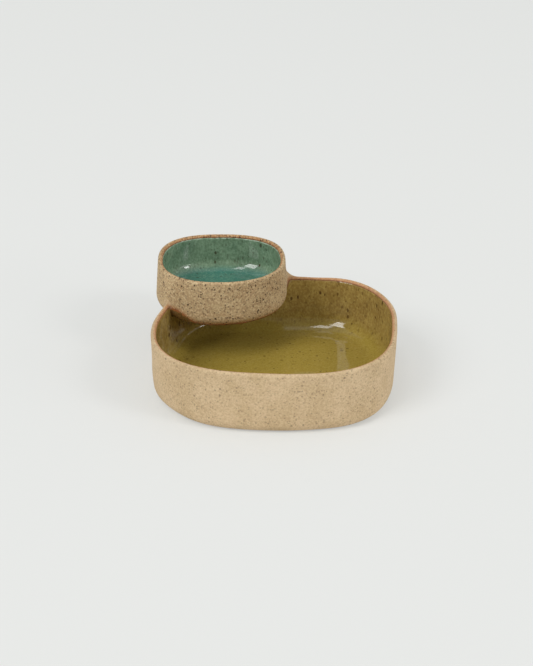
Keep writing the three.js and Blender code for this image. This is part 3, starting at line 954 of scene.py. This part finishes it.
def srgb(red, green, blue):
    """A colour as it looks on screen, 0 to 255, as the linear values that a shader needs."""
    parts = [value / 255 for value in (red, green, blue)]
    return tuple(v / 12.92 if v <= 0.04045 else ((v + 0.055) / 1.055) ** 2.4 for v in parts) + (1.0,)


# %% [markdown]
# ## Bare stoneware
#
# The clay is sand-coloured with grains of iron in it, which fire to dark specks of many sizes. A Voronoi
# texture places them: each cell holds one speck, and its random colour sets how large and how dark it is.
# The surface is dry and matt, with a mottled grain. Next to a glaze the clay toasts: orange, with a
# red-brown line right at the glaze. The dip bowl's clay holds far more iron than the chip bowl's.

# %% Make the clay's finish
IRON, GRAIN, PALE_GRAIN = srgb(58, 38, 26), srgb(150, 116, 88), srgb(238, 220, 178)
GLAZE_LINE, FOOT_LINE = srgb(118, 68, 48), srgb(160, 98, 78)


def stoneware(name, colours, grain_share, fine_share, fine_rarity, coarse_share, coarse_spacing):
    light, dark, toast = (srgb(*colour) for colour in colours)
    finish = Finish(name)
    colour = finish.mix(finish.between(finish.noise(26, 3), 0.36, 0.66), light, dark)
    gap = finish.gap()
    toasted = finish.between(finish.maths("ADD", gap, finish.sway(6, 3.0)), 1.2, 5.0, 0.9, 0.0)
    colour = finish.mix(toasted, colour, toast)
    # a red-brown line along the foot, from the ground up to about a millimetre
    standing = finish.between(finish.height_mm(), 0.2, 1.2, 0.85, 0.0)
    colour = finish.mix(standing, colour, FOOT_LINE)
    grain = finish.noise(1.7, 2, roughness=0.6)
    colour = finish.grainy(colour, grain, GRAIN, grain_share, PALE_GRAIN, 0.8 * grain_share)
    colour = finish.mix(finish.between(gap, 0.4, 1.4, 0.8, 0.0), colour, GLAZE_LINE)
    patches = finish.between(finish.noise(11, 2), 0.32, 0.6, 0.6, 1.0)
    fine = finish.times(finish.specks(2.05, 2.5, fine_rarity), patches, fine_share)
    coarse = finish.times(finish.specks(coarse_spacing, 3.0, 1.2), coarse_share)
    colour = finish.mix(finish.maths("MAXIMUM", fine, coarse), colour, IRON)
    normal = finish.bump(finish.noise(0.9, 3), 0.12, 0.35)
    normal = finish.bump(finish.noise(7, 2), 0.25, 0.5, normal)
    dry = {"Roughness": 0.82, "Specular IOR Level": 0.3}
    return finish.surface({"Base Color": colour, "Normal": normal, **dry})


CLAYS = (  # light, dark, toasted colour; grain, fine specks and their rarity, coarse specks, their spacing
    (chip_clay, "speckled stoneware", ((205, 180, 143), (194, 169, 131), (190, 134, 90)),
     0.24, 0.42, 1.3, 0.6, 5.5),
    (dip_clay, "iron-rich stoneware", ((188, 163, 123), (175, 149, 109), (176, 124, 78)),
     0.42, 0.95, 0.7, 0.95, 4.2),
    (weld, "smoothed slip", ((194, 169, 132), (182, 156, 119), (168, 120, 80)),
     0.25, 0.25, 1.4, 0.5, 6.0),
)
for piece, *settings in CLAYS:
    piece.data.materials.append(stoneware(*settings))
    print(piece.name, "is of", settings[0])

# %% [markdown]
# ## The glazes
#
# Glaze is coloured glass, glossy and slightly uneven. It is thin and brownish on the walls, mottled where
# it ran down over the clay, and it pools on the floor, where its colour is deepest. Specks of iron from the
# clay bleed through, drawn out downwards on the walls, and a thick pale bead forms at its edge; on the
# teal, its paleness is partly a painted highlight of the glint along that edge. One builder of finishes
# serves all the glazes, because only their colours and depths differ. Under the dip bowl the olive coat has
# darker
# colours of its own: partly a browner, thinner glaze, and partly painted shade of the dip bowl above it.

# %% Make the glazes' finish
def glaze(name, colours, pool_mm, wall_mm, bead_share):
    """Glass whose pooled colour gives way to the wall's between two heights."""
    wall, mottle, pale, pool, bead_and_glint, iron = (srgb(*colour) for colour in colours)
    finish = Finish(name)
    deep = finish.between(finish.height_mm(), pool_mm, wall_mm, 1.0, 0.0)
    runs = finish.between(finish.noise(2.8, 3, finish.stretched(0.5), 0.6), 0.38, 0.64)
    colour = finish.mix(finish.times(runs, 0.42), wall, mottle)
    clouds = finish.between(finish.noise(15, 3), 0.35, 0.7, 0.0, 0.45)
    colour = finish.mix(clouds, colour, mottle)
    colour = finish.mix(finish.maths("ADD", deep, finish.sway(14, 0.5), clamp=True), colour, pool)
    rough = finish.maths("MULTIPLY_ADD", deep, -0.45, 1.0)
    grain = finish.noise(1.8, 2, finish.stretched(0.7), 0.6)
    colour = finish.grainy(colour, grain, mottle, 0.34, pale, 0.28, rough)
    broken = finish.between(finish.noise(5, 2), 0.38, 0.6)
    # a band along the glaze edge: the thick bead, which on the teal is pale partly as a painted highlight
    # of its glint
    edge_bead_glint_mask = finish.times(finish.between(finish.gap(), 0.5, 1.5, bead_share, 0.0), broken)
    colour = finish.mix(edge_bead_glint_mask, colour, bead_and_glint)
    drawn = finish.wobbled(1.3, 0.5, finish.stretched(0.6))
    fine = finish.times(finish.specks(2.7, 2.7, 1.1, drawn), rough, 0.5)
    coarse = finish.times(finish.specks(5.5, 4.0, 1.1, drawn), rough, 0.95)
    colour = finish.mix(finish.maths("MAXIMUM", fine, coarse), colour, iron)
    normal = finish.bump(finish.noise(13, 1), 0.3, 0.12)
    wet = {"Roughness": 0.05, "IOR": 1.52}
    return finish.surface({"Base Color": colour, "Normal": normal, **wet})


# the teal's pale bead colour is partly a painted highlight along the glaze edge
GLAZES = (  # wall, mottle, pale grain, pool, bead and specks; the two heights, and how strong the bead is
    (chip_coat, "olive glaze", ((174, 149, 84), (129, 100, 53), (200, 180, 110),
                                (160, 139, 61), (150, 128, 78), (70, 42, 20)), 7, 26, 0.5),
    (teal, "teal glaze", ((137, 162, 133), (91, 115, 88), (165, 192, 162),
                          (70, 126, 112), (190, 206, 184), (62, 50, 28)), 49.6, 57, 0.75),
    # under the dip bowl: a browner thin glaze, darkened further as painted shade of the dip bowl above it
    (under_coat, "thin olive glaze", ((120, 92, 50), (84, 58, 30), (152, 122, 74),
                                      (104, 82, 42), (150, 92, 54), (56, 32, 18)), 7, 26, 0.9),
)
for piece, *settings in GLAZES:
    piece.data.materials.append(glaze(*settings))
    print(piece.name, "is of", settings[0])

# %% [markdown]
# ## Floor and light
#
# The bowls stand on a plain pale ground. Half of what the camera sees of it, itself or mirrored, is the
# even light of white paper, so its shade is as faint as in the photograph. The light that it throws on the
# bowls is its own.
#
# An even white world gives soft light but no shape. Here the world is soft white too, but brighter above
# and towards the front right, and dimmer on the far side, as in a room with pale walls. One round patch of
# it is dark, where the room lies behind the photographer, so the coves mirror no pale haze.
#
# Four soft boxes add the highlights that make a glaze look wet: one overhead, one at the front left, one at
# the right and a low strip under it, which draws the thin bright line in the shade of the dip bowl. Each
# hangs where its highlight needs it, by its heading from the back, clockwise, and its height angle over the
# bowls.

# %% Lay the floor
FLOOR_RADIUS, FLOOR_CORNERS = 30, 96  # the radius is in metres
PAPER_SHARE = 0.5
around = [math.tau * i / FLOOR_CORNERS for i in range(FLOOR_CORNERS)]
corners = [(FLOOR_RADIUS * math.cos(turn), FLOOR_RADIUS * math.sin(turn), 0) for turn in around]
floor_mesh = bpy.data.meshes.new("floor")
floor_mesh.from_pydata(corners, [], [tuple(range(FLOOR_CORNERS))])
floor = placed("floor", floor_mesh)
ground = Finish("pale ground")
ground.surface({"Base Color": srgb(235, 236, 234), "Roughness": 0.9})
paper = ground.add("ShaderNodeEmission", {"Color": srgb(226, 228, 225)})
rays = ground.add("ShaderNodeLightPath")
direct = ground.maths("MAXIMUM", rays["Is Camera Ray"], rays["Is Glossy Ray"])
direct = ground.maths("MAXIMUM", direct, rays["Is Transmission Ray"])
shaders = (ground.times(direct, PAPER_SHARE), ground.shader.outputs[0], paper[0])
seen = ground.add("ShaderNodeMixShader", enumerate(shaders))
ground.feed(ground.tree.nodes["Material Output"].inputs["Surface"], seen[0])
floor_mesh.materials.append(ground.material)
print("floor:", 2 * FLOOR_RADIUS, "m across")

# %% Hang the soft boxes
LAMP_DISTANCE = 12
LAMPS = (  # heading and height angle in degrees, width and height in metres, and radiance, where 1 is white
    ("overhead soft box", -152, 66, 2.4, 3.6, 5),
    ("front soft box", -134, 41, 4.9, 5.6, 7.4),
    ("right soft box", 113, 36, 2.6, 2.8, 11),
    ("low strip", 114, 19, 6.4, 1.5, 4.5),
)
for name, heading, height_angle, width, height, radiance in LAMPS:
    data = bpy.data.lights.new(name, "AREA")
    data.shape = "RECTANGLE"
    data.size, data.size_y = width, height
    data.energy = math.pi * width * height * radiance
    lamp = placed(name, data)
    heading, height_angle = math.radians(heading), math.radians(height_angle)
    out, up = LAMP_DISTANCE * math.cos(height_angle), LAMP_DISTANCE * math.sin(height_angle)
    lamp.location = (out * math.sin(heading), out * math.cos(heading), up)
    lamp.rotation_euler = lamp.location.to_track_quat("Z", "Y").to_euler()
    print(f"{name}: {width:.2f} by {height:.2f} m, {data.energy:.1f} W")

# %% Light the world
BRIGHT_SIDE, DARK_SIDE = Vector((0.5, -0.5, 0.7)), Vector((0.06, -0.81, 0.59))
DIM, BRIGHT, DARK = 0.44, 0.72, 0.25
PATCH_EDGE, PATCH_FULL = math.cos(math.radians(40)), math.cos(math.radians(20))
world = bpy.data.worlds.new("studio")
scene.world = world
sky = Graph(world)
direction = sky.add("ShaderNodeTexCoord")["Generated"]


def towards(side, start, end, at_start, at_end):
    """A strength that runs from one value to another as the direction turns towards a side."""
    facing = sky.add("ShaderNodeVectorMath", {0: direction, 1: side.normalized()}, operation="DOT_PRODUCT")
    return sky.between(facing["Value"], start, end, at_start, at_end)


strength = sky.times(
    towards(BRIGHT_SIDE, -0.2, 1.0, DIM, BRIGHT), towards(DARK_SIDE, PATCH_EDGE, PATCH_FULL, 1.0, DARK))
background = sky.tree.nodes["Background"].inputs
sky.feed(background["Strength"], strength)
background["Color"].default_value = (0.99, 0.99, 1, 1)
scene.view_settings.view_transform = "Standard"
print("nodes of the world:", len(sky.tree.nodes))
